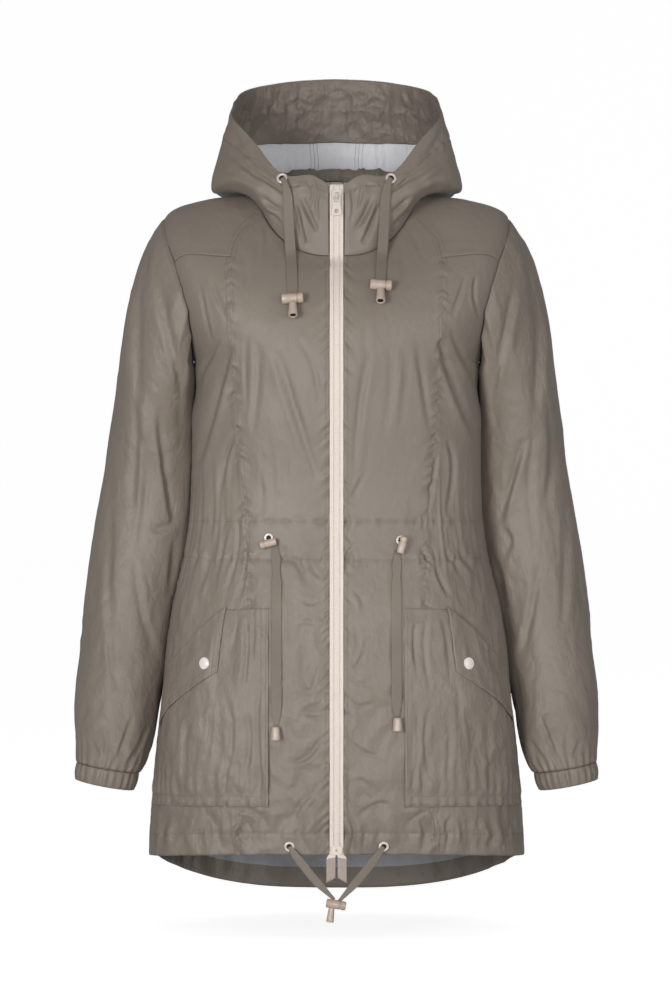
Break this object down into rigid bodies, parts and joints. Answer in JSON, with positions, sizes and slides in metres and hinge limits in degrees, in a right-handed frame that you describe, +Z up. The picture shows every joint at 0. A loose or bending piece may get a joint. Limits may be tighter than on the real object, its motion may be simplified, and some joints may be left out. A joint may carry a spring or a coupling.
{
  "type": "hooded parka",
  "caption": "Hip-length hooded rain parka, filled out and hollow, with a front zip, gathered waist, flap pockets, drawcords with locks, elasticated cuffs and a dropped back hem.",
  "frame": {"origin": "between the shoulders, level with the side of the neck, where the wearer's shoulders hold the garment up", "axes": "+Z up, the front faces -Y, +X is the wearer's left"},
  "size_m": [0.6028, 0.2975, 0.9717],
  "materials": {
    "shell": "light coated taupe shell cloth with a soft sheen, pale grey reverse",
    "facing": "taupe self-fabric facing",
    "zip_tape": "beige woven tape with moulded teeth",
    "zip_metal": "beige painted slider and pull",
    "eyelet_metal": "pale rose silver",
    "cord": "flat woven taupe tape",
    "tan_plastic": "tan moulded plastic",
    "snap": "off-white snap cap"
  },
  "bodies": {
    "garment": {"front_left": "shell", "front_right": "shell", "side_front_left": "shell", "side_front_right": "shell", "yoke_left": "shell", "yoke_right": "shell", "back": "shell", "sleeve_left": "shell", "sleeve_right": "shell", "cuff_left": "shell", "cuff_right": "shell", "hood_left": "shell", "hood_right": "shell", "hood_centre": "shell", "pocket_left": "shell", "pocket_right": "shell", "flap_left": "shell", "flap_right": "shell", "hood_facing": "facing", "neck_facing": "facing", "zip_tape_left": "zip_tape", "zip_tape_right": "zip_tape", "zip_slider": "zip_metal", "eyelet_hood_left": "eyelet_metal", "eyelet_hood_right": "eyelet_metal", "eyelet_waist_left": "eyelet_metal", "eyelet_waist_right": "eyelet_metal", "eyelet_hem_left": "eyelet_metal", "eyelet_hem_right": "eyelet_metal", "cord_hood_left": "cord", "cord_hood_right": "cord", "cord_waist_left": "cord", "cord_waist_right": "cord", "cord_hem_left": "cord", "cord_hem_right": "cord", "lock_hood_left": "tan_plastic", "lock_hood_right": "tan_plastic", "lock_waist_left": "tan_plastic", "lock_waist_right": "tan_plastic", "lock_hem": "tan_plastic", "end_hood_left": "tan_plastic", "end_hood_right": "tan_plastic", "end_waist_left": "tan_plastic", "end_waist_right": "tan_plastic", "end_hem": "tan_plastic", "snap_left": "snap", "snap_right": "snap"},
    "pull": {"zip_pull": "zip_metal"}
  },
  "joints": [
    {"name": "pull_swing", "type": "hinge", "parent": "garment", "child": "pull", "pos_m": [0, -0.08755, -0.008], "axis": [-1, 0, 0], "range_deg": [0, 120]}
  ]
}
